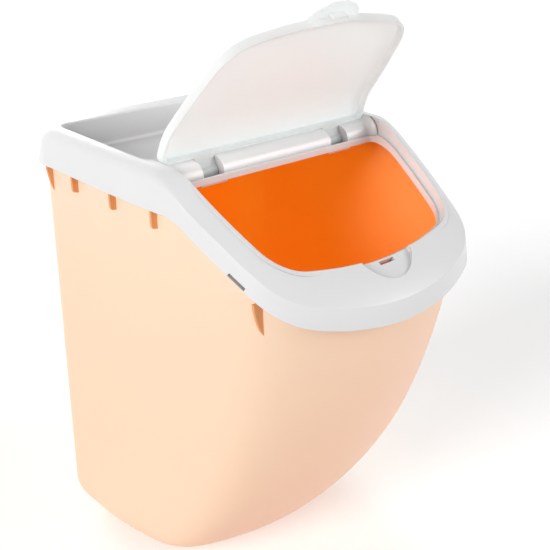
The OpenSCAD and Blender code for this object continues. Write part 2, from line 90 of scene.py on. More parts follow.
# outlines from above: half width, rear and front y, then the rear corner's radius, the side's
# radius and turn, the front corner's radius and the front's radius
CORNER_R, SIDE_TURN, FRONT_R = 27.0, math.radians(14.1), 191.0
COLLAR_PLAN = (HALF_W, REAR, FRONT, CORNER_R, 487.0, SIDE_TURN, 46.2, FRONT_R)
MOUTH_CURVES = (6.0, 364.0, math.radians(13.8), 29.6, 292.0)
TUB_SIDE_R, TUB_FRONT_IN, TUB_FRONT_TOP, TUB_FRONT_LOW, TUB_LEAST_R = 253.0, 1.8, 55.0, 36.0, 4
# the roll widens from its rear width over one stretch, and to its front width over another
SIDE_FROM, SIDE_OVER, FRONT_FROM, FRONT_OVER = TOP_LINE[0] + 12, 34, FRONT + 60, 50
SNAP_Y, SNAP_UP, SNAP_HALF = FRONT + 57, 2.2, (12, 7, 1.1)
# ribs under the hem: three alike on each side, then x, y, height and reach of the other two
RIB_Y, RIB_STEP, RIB_H, RIB_REACH = -11.5, 46, 14.5, TUB_IN + 3
REAR_RIB = (HALF_W, REAR - 27, 26, TUB_IN + 4)
FRONT_RIB = (HALF_W - 13, FRONT + 44, 27, TUB_IN + 7)
# their outer edges, as shares of the reach and the height
TAPERED = [(0, 0), (0.05, 0.15), (0.14, 0.3), (0.24, 0.46), (0.36, 0.6), (0.48, 0.72),
           (0.6, 0.82), (0.75, 0.92), (0.9, 1)]
UPRIGHT = [(0, 0), (0.04, 0.5), (0.08, 0.72), (0.16, 0.8), (0.9, 0.86)]
# how far cutters and blocks reach past what they cut or join
LAP, PAST, FAR, THROUGH, SEAT_THROUGH = 1, 10, 20, 140, 120
HEM_OPEN, HOLLOW_OPEN, BAR_UP, POCKET_LAP = 4, 8, 2, 0.2
NOTCH_FLOOR_FROM, NOTCH_FLOOR_TO = 2, 42
# how much further out and up the cutters of the mouth and the notch end than their round edges
MOUTH_END, NOTCH_END = (0.3, 14), (0.9, 12)

# steps on each part of an outline
CORNER_N, SIDE_N, BOW_N, BEND_N, ARC_N, TURN_N = 14, 60, 14, 24, 24, 96
ROLL_N, ROUND_N, COVE_N, BOTTOM_N, WALL_N = 18, 5, 6, 12, 26


# ---- outlines ----------------------------------------------------------------------------------

def mix(a, b, t):
    return a + (b - a) * t


def smooth(t):
    c = min(max(t, 0.0), 1.0)
    return c * c * (3 - 2 * c)


def bend_z(line, y):
    """Height of a side profile at y: level behind, sloping in front, joined by a fillet."""
    start = line[0] + line[2] * math.tan(SLOPE / 2)
    end = start - line[2] * math.sin(SLOPE)
    if y > start:
        return line[1]
    if y > end:
        return line[1] - line[2] + math.sqrt(line[2] ** 2 - (start - y) ** 2)
    return line[1] - (line[0] - y) * math.tan(SLOPE)


def bend_pts(line, dz):
    """The same profile as (y, z) from the rear to the front, lowered by dz."""
    pts = [(REAR + FAR, line[1] - dz)]
    for i in range(BEND_N + 1):
        a = SLOPE * i / BEND_N
        pts.append((line[0] + line[2] * (math.tan(SLOPE / 2) - math.sin(a)),
                    line[1] - line[2] * (1 - math.cos(a)) - dz))
    y = FRONT - FAR
    return pts + [(y, line[1] - (line[0] - y) * math.tan(SLOPE) - dz)]


def half_plan(p):
    """Right half of an outline, from the end of its straight rear edge to the middle of the front,
    as (x, y, direction of the outward normal)."""
    w, rear, front, rr, rs, al, rf, rb = p
    fx = w - rs + (rs - rf) * math.cos(al)
    be = math.acos(fx / (rb - rf))
    fy = front + rb - (rb - rf) * math.sin(be)
    sy = fy + (rs - rf) * math.sin(al)
    ry = rear - rr
    ph = 0.0 if ry > sy else math.asin((sy - ry) / (rs - rr))
    rx = w - rs + (rs - rr) * math.cos(ph)
    pts = []
    for i in range(CORNER_N + 1):
        a = mix(math.pi / 2, -ph, i / CORNER_N)
        pts.append((rx + rr * math.cos(a), ry + rr * math.sin(a), a))
    straight = max(ry - sy, 0.0)
    length = straight + rs * (al - ph)
    for i in range(1, SIDE_N + 1):
        s = length * i / SIDE_N
        if s < straight:
            pts.append((w, ry - s, 0.0))
        else:
            a = -ph - (s - straight) / rs
            pts.append((w - rs + rs * math.cos(a), sy + rs * math.sin(a), a))
    for i in range(1, CORNER_N + 1):
        a = mix(-al, -be, i / CORNER_N)
        pts.append((fx + rf * math.cos(a), fy + rf * math.sin(a), a))
    for i in range(1, BOW_N + 1):
        a = mix(-be, -math.pi / 2, i / BOW_N)
        pts.append((rb * math.cos(a), front + rb + rb * math.sin(a), a))
    return pts


def ring(half):
    """The right half, then its mirror image."""
    return list(half) + [(-q[0], *q[1:]) for q in reversed(half[:-1])]


def plan(p, o=0.0):
    """A whole outline, moved out by o."""
    return ring([(q[0] + o * math.cos(q[2]), q[1] + o * math.sin(q[2])) for q in half_plan(p)])


def lined(p, o, line, dz):
    """An outline moved out by o and laid on a side profile, dz below it."""
    half = []
    for x, y, a in half_plan(p):
        y += o * math.sin(a)
        half.append((x + o * math.cos(a), y, bend_z(line, y) - dz))
    return ring(half)


def mouth_at(h):
    """Outline of the mouth at h above its seat."""
    return (MOUTH_W / 2, FRONT + MOUTH_BACK, MOUTH_Y + MOUTH_LEAN * (SEAT_SLOPE - h), *MOUTH_CURVES)


def quarter(r):
    """(inset, drop) pairs round an outer edge of radius r, from the side to the top."""
    return [(r * (1 - math.cos(a)), r * (1 - math.sin(a)))
            for a in (math.pi / 2 * i / ROUND_N for i in range(ROUND_N + 1))]


# ---- solids ------------------------------------------------------------------------------------

def solid(verts, faces):
    mesh = bpy.data.meshes.new("solid")
    mesh.from_pydata(verts, [], faces)
    work = bmesh.new()
    work.from_mesh(mesh)
    bmesh.ops.recalc_face_normals(work, faces=work.faces)
    work.to_mesh(mesh)
    work.free()
    obj = bpy.data.objects.new("solid", mesh)
    scene.collection.objects.link(obj)
    return obj


def between(rings):
    n = len(rings[0])
    return [(k * n + i, k * n + (i + 1) % n, (k + 1) * n + (i + 1) % n, (k + 1) * n + i)
            for k in range(len(rings) - 1) for i in range(n)]


def loft(rings):
    """Skin through mirror-symmetric rings, the lowest first, with caps of cross strips."""
    n = len(rings[0])
    m, last = (n - 1) // 2, (len(rings) - 1) * n
    strips = [(i, i + 1, n - i - 2, n - i - 1) if i < m - 1 else (m - 1, m, m + 1)
              for i in range(m)]
    caps = [tuple(v + last for v in f) for f in strips] + [f[::-1] for f in strips]
    return solid([v for r in rings for v in r], between(rings) + caps)


def stack(rings):
    """Skin through rings, with flat caps."""
    n, last = len(rings[0]), (len(rings) - 1) * len(rings[0])
    return solid([v for r in rings for v in r],
                 between(rings) + [tuple(range(n)), tuple(range(last, last + n))])


def band(upper, lower):
    """Slab between two (y, z) profiles, past both sides of the bin."""
    outline = list(upper) + list(reversed(lower))
    return stack([[(x, y, z) for y, z in outline] for x in (-HALF_W - PAST, HALF_W + PAST)])


def prism(outline, z0, z1):
    return stack([[(x, y, z) for x, y in outline] for z in (z0, z1)])


def box(x0, x1, y0, y1, z0, z1):
    return prism([(x0, y0), (x1, y0), (x1, y1), (x0, y1)], z0, z1)


def round_box(x, y0, y1, r, z):
    """Ring of a rectangle with round corners at height z."""
    pts = []
    for cx, cy, start in ((x - r, y1 - r, 0), (r - x, y1 - r, 90), (r - x, y0 + r, 180),
                          (x - r, y0 + r, 270)):
        for i in range(CORNER_N + 1):
            a = math.radians(start + 90 * i / CORNER_N)
            pts.append((cx + r * math.cos(a), cy + r * math.sin(a), z))
    return pts


def axle(d, w, x):
    """Round bar on the hinge axis."""
    return stack([[(x + s * w / 2, AXIS_Y + d / 2 * math.cos(2 * math.pi * i / TURN_N),
                    AXIS_Z + d / 2 * math.sin(2 * math.pi * i / TURN_N))
                   for i in range(TURN_N)] for s in (-1, 1)])


def turn(obj, degrees):
    """Turns a solid about the hinge axis."""
    move = (Matrix.Translation((0, AXIS_Y, AXIS_Z)) @ Matrix.Rotation(math.radians(degrees), 4, "X")
            @ Matrix.Translation((0, -AXIS_Y, -AXIS_Z)))
    obj.data.transform(move)
    return obj


def combine(kind, base, *others):
    """base with the others joined, cut away or kept in common; the others are used up."""
    for other in others:
        modifier = base.modifiers.new("join", "BOOLEAN")
        modifier.operation, modifier.solver, modifier.object = kind, "MANIFOLD", other
    graph = bpy.context.evaluated_depsgraph_get()
    mesh = bpy.data.meshes.new_from_object(base.evaluated_get(graph))
    base.modifiers.clear()
    base.data = mesh
    for other in others:
        bpy.data.objects.remove(other)
    return base


def join(base, *others):
    return combine("UNION", base, *others)


def cut(base, *others):
    return combine("DIFFERENCE", base, *others)


def common(base, *others):
    return combine("INTERSECT", base, *others)


# ---- collar ------------------------------------------------------------------------------------

def skin_pt(q, u, t):
    """One point of the collar's skin: u is the fraction across the roll, t the wall's inset."""
    s = smooth((SIDE_FROM - q[1]) / SIDE_OVER)
    w = mix(mix(ROLL_REAR, ROLL_SIDE, s), ROLL_FRONT, smooth((FRONT_FROM - q[1]) / FRONT_OVER))
    d = FLARE + w * u + t
    y = q[1] - d * math.sin(q[2])
    level = ROLL_REAR * (1 - math.sqrt(1 - (1 - u) ** 2))
    slope = ROLL_DROP * (1 - u) ** ROLL_CURVE
    return (q[0] - d * math.cos(q[2]), y, bend_z(TOP_LINE, y) - mix(level, slope, s) - t)


def skin(t=0.0):
    """Solid under the collar's skin, or with t the space inside its wall."""
    half = half_plan(COLLAR_PLAN)
    rolls = [[skin_pt(q, (i / ROLL_N) ** 1.5, t) for q in half] for i in range(ROLL_N + 1)]

    def hem(inset, up):
        return [(q[0] - inset * math.cos(q[2]), q[1] - inset * math.sin(q[2]),
                 bend_z(HEM_LINE, q[1]) + up) for q in half]

    if t:
        hems = [hem(t, -HEM_OPEN)]
    else:
        hems = [hem(a * HEM_ROUND, b * HEM_ROUND)
                for a, b in ((1, 0), (0.45, 0.12), (0.12, 0.45), (0, 1))]
    return loft([ring(h) for h in hems + rolls])


def mouth_cut():
    below = prism(plan(mouth_at(0), -SEAT_W), BIN_H - THROUGH, BIN_H + PAST)
    top, r = mouth_at(SEAT_SLOPE), MOUTH_ROUND
    rings = [lined(mouth_at(0), 0, SEAT_LINE, 0), lined(mouth_at(SEAT_SLOPE - r), 0, TOP_LINE, r)]
    rings += [lined(top, o, TOP_LINE, d) for o, d in quarter(r)[1:]]
    rings += [lined(top, r + MOUTH_END[0], TOP_LINE, -MOUTH_END[1])]
    return join(loft(rings), below)


def rear_edge(o):
    """The mouth's rear edge as (distance from the hinge axis, x), grown by o."""
    half = [(AXIS_Y - q[1] + o, q[0]) for q in half_plan(mouth_at(SEAT_SLOPE)) if q[2] >= 0]
    return [(r, -x) for r, x in reversed(half)] + half


def bar(o):
    """The crossbar's front, turned about the hinge axis, and its level top."""
    edge = rear_edge(o)
    verts = [(edge[0][1], AXIS_Y, AXIS_Z), (edge[-1][1], AXIS_Y, AXIS_Z)]
    for r, x in edge:
        verts += [(x, AXIS_Y - r * math.cos(2 * math.pi * i / TURN_N),
                   AXIS_Z + r * math.sin(2 * math.pi * i / TURN_N)) for i in range(TURN_N)]
    n, k = TURN_N, len(edge)
    faces = [(2 + j * n + i, 2 + j * n + (i + 1) % n, 2 + (j + 1) * n + (i + 1) % n,
              2 + (j + 1) * n + i) for j in range(k - 1) for i in range(n)]
    faces += [(0, 2 + i, 2 + (i + 1) % n) for i in range(n)]
    faces += [(1, 2 + (k - 1) * n + (i + 1) % n, 2 + (k - 1) * n + i) for i in range(n)]
    front = solid(verts, faces)
    outline = [(x, AXIS_Z + r) for r, x in edge] + [(edge[-1][1], AXIS_Z), (edge[0][1], AXIS_Z)]
    back = stack([[(x, y, z) for x, z in outline] for y in (AXIS_Y, BAR_BACK + LAP)])
    return join(front, back)


def bar_space(up):
    return box(-MOUTH_W / 2, MOUTH_W / 2, AXIS_Y - (AXIS_IN + BAR_REACH), BAR_BACK, AXIS_Z,
               BIN_H + up)


def pocket(side, o, down, top):
    """Room round a knuckle, grown by o, from down below it to top."""
    x = side * KNUCKLE_SPAN / 2
    return box(x - POCKET_W / 2 - o, x + POCKET_W / 2 + o, AXIS_Y - AXIS_IN - POCKET_LAP,
               AXIS_Y + POCKET_R + o, AXIS_Z - POCKET_R - down, top)


def tab_ring(length, o, line, dz):
    """Half-moon outline over the mouth's front edge, laid on a side profile."""
    r = ((TAB_W / 2) ** 2 + length ** 2) / (2 * length)
    widest = math.asin(TAB_W / 2 / r)
    half = [(TAB_W / 2 + o, MOUTH_Y + TAIL)]
    for i in range(ARC_N + 1):
        a = widest * (1 - i / ARC_N)
        half.append(((r + o) * math.sin(a), MOUTH_Y + r - length - (r + o) * math.cos(a)))
    half[-1] = (0.0, half[-1][1])
    return ring([(x, y, bend_z(line, y) - dz) for x, y in half])


def notch():
    """The finger notch's space, round at its floor and its top edge."""
    depth, length, r = NOTCH_DEPTH, NOTCH_LEN - TAB_GAP, TAB_ROUND
    spec = [(depth, -r), (depth - 0.15, -0.3), (depth - r, 0.0), (r, 0.0)]
    spec += [(d, o) for o, d in quarter(r)[1:]] + [(-NOTCH_END[1], NOTCH_END[0])]
    return loft([tab_ring(length, TAB_GAP + o, TOP_LINE, dz) for dz, o in spec])


def notch_floor():
    block = loft([tab_ring(NOTCH_LEN - TAB_GAP, TAB_GAP + COLLAR_WALL, TOP_LINE, dz)
                  for dz in (NOTCH_DEPTH + COLLAR_WALL, 1)])
    block = cut(block, box(-HALF_W, HALF_W, MOUTH_Y + NOTCH_FLOOR_FROM, MOUTH_Y + NOTCH_FLOOR_TO,
                           BIN_H - THROUGH - LAP, BIN_H + LAP))
    return common(block, skin())


# the latch hook's distance and angle from the hinge axis
HOOK_Y = MOUTH_Y - HOOK_OUT
HOOK_DROP = AXIS_Z - bend_z(TOP_LINE, HOOK_Y)
HOOK_R = math.hypot(AXIS_Y - HOOK_Y, HOOK_DROP)
HOOK_A = math.degrees(math.atan2(HOOK_DROP, AXIS_Y - HOOK_Y))


def on_arc(w, t, down, up):
    """Block where the latch hook is, square to its arc about the hinge."""
    return turn(box(-w / 2, w / 2, AXIS_Y - HOOK_R - t / 2, AXIS_Y - HOOK_R + t / 2,
                    AXIS_Z - down, AXIS_Z + up), HOOK_A)


def snap_windows():
    x, y, z = SNAP_HALF
    made = []
    for side in (-1, 1):
        block = box(-x, x, -y, y, -z, z)
        place = (side * (HALF_W - x), SNAP_Y, bend_z(HEM_LINE, SNAP_Y) + SNAP_UP)
        block.data.transform(Matrix.Translation(place) @ Matrix.Rotation(SLOPE, 4, "X"))
        made.append(block)
    return made


def tray_ring(o, z):
    """Ring of the tray's outline at height z, moved out by o."""
    return round_box(TRAY_W / 2 + o, FRONT + TRAY_FRONT - o, REAR - TRAY_REAR + o, TRAY_R + o, z)


def tray_cut():
    """The tray's space, with a round top edge and a cove round its floor."""
    turns = [math.pi / 2 * k / COVE_N for k in range(COVE_N + 1)]
    rings = [tray_ring(TRAY_COVE * (math.sin(a) - 1),
                       BIN_H - TRAY_DEPTH + TRAY_COVE * (1 - math.cos(a))) for a in turns]
    rings += [tray_ring(o, BIN_H - d) for o, d in quarter(TRAY_ROUND)]
    return stack(rings + [tray_ring(TRAY_ROUND, BIN_H + PAST)])


def collar():
    shell = cut(skin(), skin(COLLAR_WALL))
    walls = loft([lined(mouth_at(-COLLAR_WALL), COLLAR_WALL, SEAT_LINE, COLLAR_WALL),
                  lined(mouth_at(SEAT_SLOPE), COLLAR_WALL, TOP_LINE, UNDER)])
    seat = common(prism(plan(mouth_at(0), COLLAR_WALL - SEAT_W), BIN_H - SEAT_THROUGH, BIN_H),
                  band(bend_pts(SEAT_LINE, LAP), bend_pts(SEAT_LINE, THROAT_H)))
    plate = common(cut(bar(0), bar(-COLLAR_WALL)), bar_space(-UNDER))
    tray = stack([tray_ring(COLLAR_WALL, z)
                  for z in (BIN_H - TRAY_DEPTH - COLLAR_WALL, BIN_H - UNDER)])
    body = join(shell, walls, seat, plate, tray, notch_floor(),
                *[pocket(s, POCKET_WALL, POCKET_FLOOR, BIN_H - UNDER) for s in (-1, 1)])
    over_bar = cut(bar_space(BAR_UP), bar(0))
    holes = [axle(PIN_D, POCKET_W + 2 * POCKET_WALL + LAP, s * KNUCKLE_SPAN / 2) for s in (-1, 1)]
    slot = on_arc(HOOK_W + 2 * HOOK_GAP, HOOK_T + 2 * HOOK_GAP, SLOT_DOWN, SLOT_UP)
    return cut(body, mouth_cut(), over_bar, tray_cut(), notch(), slot, *snap_windows(), *holes,
               *[pocket(s, 0, 0, BIN_H + PAST) for s in (-1, 1)])


# ---- tub ---------------------------------------------------------------------------------------

MEET_Z = BELLY_SHARE * HEM_Z
BELLY_R = (HEM_Z - MEET_Z) / math.sin(BELLY_LEAN)
BELLY_LOW_R = MEET_Z / (math.sin(BELLY_FLOOR) - math.sin(BELLY_LEAN))


def belly(z):
    """How far the front has come in at height z: one arc above MEET_Z and a tighter one below."""
    high = min(max(HEM_Z - z, 0), HEM_Z - MEET_Z)
    lean = math.sin(BELLY_LEAN) + max(MEET_Z - z, 0) / BELLY_LOW_R
    return (BELLY_R - math.sqrt(BELLY_R ** 2 - high ** 2)
            + BELLY_LOW_R * (math.cos(BELLY_LEAN) - math.sqrt(1 - lean ** 2)))


def tub_plan(z, t):
    """Outline of the tub at height z, t inside its outer face."""
    down = max(1 - z / HEM_Z, 0)
    low = max(BOTTOM_R - z, 0)
    inset = (TUB_IN + down * HEM_Z * math.tan(DRAFT) + BOTTOM_R
             - math.sqrt(BOTTOM_R ** 2 - low ** 2) + t)
    return (HALF_W - inset, REAR - inset, FRONT + inset + TUB_FRONT_IN + belly(z),
            max(CORNER_R - TUB_IN - t, TUB_LEAST_R), TUB_SIDE_R, SIDE_TURN,
            mix(TUB_FRONT_TOP, TUB_FRONT_LOW, down), FRONT_R)


TUB_HEIGHTS = [BOTTOM_R * (1 - math.cos(math.pi / 2 * i / BOTTOM_N)) for i in range(BOTTOM_N + 1)]
TUB_HEIGHTS += [mix(BOTTOM_R, HEM_Z, i / WALL_N) for i in range(1, WALL_N + 1)] + [BIN_H]


def tub_solid(t, floor_z):
    heights = [floor_z] + [z for z in TUB_HEIGHTS if z > floor_z]
    return loft([[(x, y, z) for x, y in plan(tub_plan(z, t))] for z in heights])


def rim_space(h):
    """Inside of the collar, with a gap, from RIM_UP above the hem down to h under that."""
    return common(skin(COLLAR_WALL + RIM_GAP),
                  band(bend_pts(HEM_LINE, -RIM_UP), bend_pts(HEM_LINE, h - RIM_UP)))


def in_slot(obj, index):
    """Gives a solid's faces their place among the tub's three materials."""
    for _ in range(3):
        obj.data.materials.append(None)
    for face in obj.data.polygons:
        face.material_index = index


def gusset(side, w, y, h, reach, steps=TAPERED):
    """Upright rib under the collar's edge, from its outer edge in to the wall."""
    x0, z0 = w - GUSSET_IN, bend_z(HEM_LINE, y - GUSSET_T) - GUSSET_GAP
    outline = [(x0 - reach * a, z0 - h * b) for a, b in steps]
    outline += [(x0 - reach - GUSSET_ROOT, z0 - h), (x0 - reach - GUSSET_ROOT, z0)]
    return stack([[(side * x, y + s * GUSSET_T / 2, z) for x, z in outline] for s in (-1, 1)])


def tub():
    below_hem = band(bend_pts(HEM_LINE, 1), [(REAR + FAR, -LAP), (FRONT - FAR, -LAP)])
    body = common(tub_solid(0, 0), join(below_hem, rim_space(RIM_UP + PAST)))
    ribs = []
    for side in (-1, 1):
        ribs += [gusset(side, HALF_W, RIB_Y + RIB_STEP * i, RIB_H, RIB_REACH, UPRIGHT)
                 for i in range(3)]
        ribs += [gusset(side, *REAR_RIB), gusset(side, *FRONT_RIB)]
    inside = tub_solid(TUB_WALL, FOOT_HOLLOW + TUB_FLOOR)
    for index, solids in enumerate(([body], [inside], ribs)):
        for obj in solids:
            in_slot(obj, index)
    body = join(body, rim_space(FLANGE_T), *ribs)
    return cut(body, prism(plan(tub_plan(0, FOOT_W)), -LAP, FOOT_HOLLOW), inside)


# ---- lid ---------------------------------------------------------------------------------------

def lid_block(o, dz, dt, r):
    """The closed lid's block, o inside its outline, from dz under its rim to dt under its top,
    with its top edge rounded to r."""
    rings = [lined(mouth_at(SEAT_GAP - dz), -LID_GAP - o, SEAT_LINE, dz - SEAT_GAP)]
    rings += [lined(mouth_at(LID_TOP - dt - d), -LID_GAP - o - i, LID_LINE, dt + d)
              for i, d in quarter(r)]
    return loft(rings)


def lid():
    shell = cut(lid_block(0, 0, 0, LID_ROUND),
                lid_block(LID_RIM, HOLLOW_OPEN, LID_WALL, LID_ROUND_IN))
    spec = [(LID_WALL, -0.4), (LID_WALL - 0.12, -0.12), (LID_WALL - 0.4, 0.0), (TAB_ROUND, 0.0)]
    spec += [(d, -i) for i, d in quarter(TAB_ROUND)[1:]]
    tab = loft([tab_ring(TAB_LEN, o, LID_LINE, dz) for dz, o in spec])
    rim_u, rim_v = -AXIS_IN - LID_GAP, BIN_H - SEAT_REAR + SEAT_GAP - AXIS_Z
    arms = []
    for x in (-KNUCKLE_SPAN / 2, KNUCKLE_SPAN / 2):
        outline = [(0, KNUCKLE_D / 2), (rim_u - LID_RIM, KNUCKLE_D / 2), (rim_u - LID_RIM, rim_v),
                   (rim_u + ARM_FOOT, rim_v), (0, -KNUCKLE_D / 2)]
        arms.append(stack([[(x + s * KNUCKLE_W / 2, AXIS_Y + u, AXIS_Z + v) for u, v in outline]
                           for s in (-1, 1)]))
        arms.append(axle(KNUCKLE_D, KNUCKLE_W, x))
    body = join(shell, tab, on_arc(HOOK_W, HOOK_T, HOOK_LEN, -HOOK_SUNK), *arms)
    body = cut(body, *[axle(PIN_D + 2 * PIN_GAP, KNUCKLE_W + 2 * LAP, s * KNUCKLE_SPAN / 2)
                       for s in (-1, 1)])
    return turn(body, -LID_OPEN)


SMOOTH_BELOW, MM = math.radians(28), 0.001


def piece(obj, name, node, body, slot, *materials):
    """Brings a solid to metres, shades it and puts it in its node's place."""
    obj.name = obj.data.name = name
    obj.data.transform(Matrix.Scale(MM, 4))
    for i, material in enumerate(materials):
        if i < len(obj.data.materials):
            obj.data.materials[i] = material
        else:
            obj.data.materials.append(material)
    obj.data.shade_smooth()
    obj.data.set_sharp_from_angle(angle=SMOOTH_BELOW)
    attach(obj, body)
    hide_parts(node)


# ---- materials -----------------------------------------------------------------------------------

class Nodes:
    """Builds one node material with short calls."""

    def __init__(self, name):
        self.mat = bpy.data.materials.new(name)
        self.mat.use_nodes = True
        self.tree = self.mat.node_tree
        self.tree.nodes.clear()
        self.out = self.add("ShaderNodeOutputMaterial")

    def add(self, kind, **props):
        node = self.tree.nodes.new(kind)
        for key, value in props.items():
            setattr(node, key, value)
        return node

    def link(self, a, b):
        self.tree.links.new(a, b)

    def put(self, value, socket):
        """Sets a socket to a number or an RGB colour, or links an output to it."""
        if isinstance(value, (int, float)):
            socket.default_value = value
        elif isinstance(value, tuple):
            socket.default_value = (*value, 1)
        else:
            self.link(value, socket)

    def place(self):
        """Object coordinates, which are metres in the part's own frame."""
        return self.add("ShaderNodeTexCoord").outputs["Object"]

    def noise(self, scale, detail):
        node = self.add("ShaderNodeTexNoise")
        node.inputs["Scale"].default_value = scale
        node.inputs["Detail"].default_value = detail
        node.inputs["Roughness"].default_value = 0.55
        self.link(self.place(), node.inputs["Vector"])
        return node.outputs["Fac"]

    def ramp(self, value, *stops):
        """Colours at places along value, each (place, colour)."""
        node = self.add("ShaderNodeValToRGB")
        elements = node.color_ramp.elements
        while len(elements) < len(stops):
            elements.new(0.5)
        for element, (at, colour) in zip(elements, stops):
            element.position = at
            element.color = (*colour, 1)
        self.link(value, node.inputs["Fac"])
        return node.outputs["Color"]

    def span(self, value, low, high, to_low=0.0, to_high=1.0):
        node = self.add("ShaderNodeMapRange")
        for name, number in zip(("From Min", "From Max", "To Min", "To Max"),
                                (low, high, to_low, to_high)):
            node.inputs[name].default_value = number
        self.link(value, node.inputs["Value"])
        return node.outputs["Result"]

    def math(self, kind, a, b):
        node = self.add("ShaderNodeMath", operation=kind)
        self.put(a, node.inputs[0])
        self.put(b, node.inputs[1])
        return node.outputs["Value"]

    def mix(self, factor, a, b):
        """Colour b over a."""
        node = self.add("ShaderNodeMix", data_type="RGBA")
        for index, value in ((0, factor), (6, a), (7, b)):
            self.put(value, node.inputs[index])
        return node.outputs[2]

    def axis(self, index):
        node = self.add("ShaderNodeSeparateXYZ")
        self.link(self.place(), node.inputs["Vector"])
        return node.outputs[index]

    def edge(self, radius):
        """1 along sharp edges, 0 elsewhere, and the rounded normal."""
        bevel = self.add("ShaderNodeBevel", samples=8)
        bevel.inputs["Radius"].default_value = radius
        geometry = self.add("ShaderNodeNewGeometry")
        dot = self.add("ShaderNodeVectorMath", operation="DOT_PRODUCT")
        self.link(bevel.outputs["Normal"], dot.inputs[0])
        self.link(geometry.outputs["Normal"], dot.inputs[1])
        return self.span(dot.outputs["Value"], 0.985, 0.80), bevel.outputs["Normal"]

    def painted_recess_shade(self, reach):
        """Mask for painted shade: 0 on open faces, up to 1 deep in the piece's own corners and
        hollows.
        """
        node = self.add("ShaderNodeAmbientOcclusion", samples=8, only_local=True)
        node.inputs["Distance"].default_value = reach
        return self.span(node.outputs["AO"], 0.95, 0.25)

    def bump(self, normal, height, strength, distance):
        node = self.add("ShaderNodeBump")
        node.inputs["Strength"].default_value = strength
        node.inputs["Distance"].default_value = distance
        self.link(height, node.inputs["Height"])
        self.link(normal, node.inputs["Normal"])
        return node.outputs["Normal"]

    def plastic(self, colour, **sockets):
        """A Principled shader with the material's roughness and normal."""
        node = self.add("ShaderNodeBsdfPrincipled")
        for name, value in sockets.items():
            node.inputs[name.replace("_", " ")].default_value = value
        self.link(colour, node.inputs["Base Color"])
        self.link(self.rough, node.inputs["Roughness"])
        self.link(self.normal, node.inputs["Normal"])
        return node.outputs["BSDF"]

    def lit_through(self, share, body, colour):
        """body, with a share of it given to light that comes through the wall."""
        through = self.add("ShaderNodeBsdfTranslucent")
        self.link(colour, through.inputs["Color"])
        self.link(self.normal, through.inputs["Normal"])
        node = self.add("ShaderNodeMixShader")
        node.inputs["Fac"].default_value = share
        self.link(body, node.inputs[1])
        self.link(through.outputs["BSDF"], node.inputs[2])
        return node.outputs["Shader"]

    def done(self, shader):
        self.link(shader, self.out.inputs["Surface"])
        return self.mat


def moulded(name, round_edge, low, high):
    """A material with what every moulded piece shares: worn, a mask along its rounded edges;
    normal, with a fine grain and shallow sink marks; soft and small, two slow noises; and rough,
    between low and high."""
    n = Nodes(name)
    n.worn, normal = n.edge(round_edge)
    normal = n.bump(normal, n.noise(2600.0, 2.0), 0.05, 0.00003)
    n.normal = n.bump(normal, n.noise(9.0, 2.0), 0.12, 0.0006)
    n.soft, n.small = n.noise(14.0, 1.0), n.noise(22.0, 0.0)
    n.rough = n.span(n.small, 0.1, 0.9, low, high)
    return n


def collar_material():
    n = moulded("collar_white_painted_shade", 0.0007, 0.27, 0.31)
    colour = n.ramp(n.soft, (0.3, (0.778, 0.780, 0.784)), (0.7, (0.790, 0.791, 0.793)))
    colour = n.mix(n.math("MULTIPLY", n.worn, 0.3), colour, (0.87, 0.87, 0.87))
    # Painted shade: the collar turns darker in its own corners, recesses, pockets and tray.
    colour = n.mix(n.math("MULTIPLY", n.painted_recess_shade(0.03), 0.75), colour, (0.36, 0.33, 0.33))
    return n.done(n.plastic(colour, Specular_IOR_Level=0.5, Coat_Weight=0.3, Coat_Roughness=0.16))


def tub_material():
    """Outside of the tub: pale peach, with painted shade that makes it a little deeper towards the
    floor.
    """
    n = moulded("tub_peach_painted_shade", 0.0006, 0.32, 0.38)
    # Painted shade: the peach is lighter near the collar and deepens down towards the floor.
    height = n.span(n.axis(2), 0.0, 0.31)
    colour = n.ramp(height, (0.0, (0.99, 0.86, 0.64)), (0.35, (0.99, 0.86, 0.64)),
                    (0.75, (0.99, 0.89, 0.68)), (1.0, (0.99, 0.93, 0.75)))
    colour = n.mix(n.span(n.soft, 0.3, 0.7, 0.0, 0.2), colour, (0.99, 0.86, 0.66))
    colour = n.mix(n.math("MULTIPLY", n.worn, 0.3), colour, (0.99, 0.95, 0.87))
    return n.done(n.lit_through(0.25, n.plastic(colour, Specular_IOR_Level=0.45), colour))


def rib_painted_shade_material():
    """The thin ribs, given a deeper colour as painted shade for the shade they stand in."""
    n = moulded("tub_rib_painted_shade", 0.0004, 0.32, 0.38)
    # Painted shade: the ribs' orange is deeper than the tub's own plastic.
    colour = n.ramp(n.soft, (0.3, (0.94, 0.47, 0.17)), (0.7, (0.96, 0.52, 0.21)))
    colour = n.mix(n.math("MULTIPLY", n.worn, 0.4), colour, (0.97, 0.66, 0.40))
    return n.done(n.lit_through(0.3, n.plastic(colour, Specular_IOR_Level=0.45), colour))


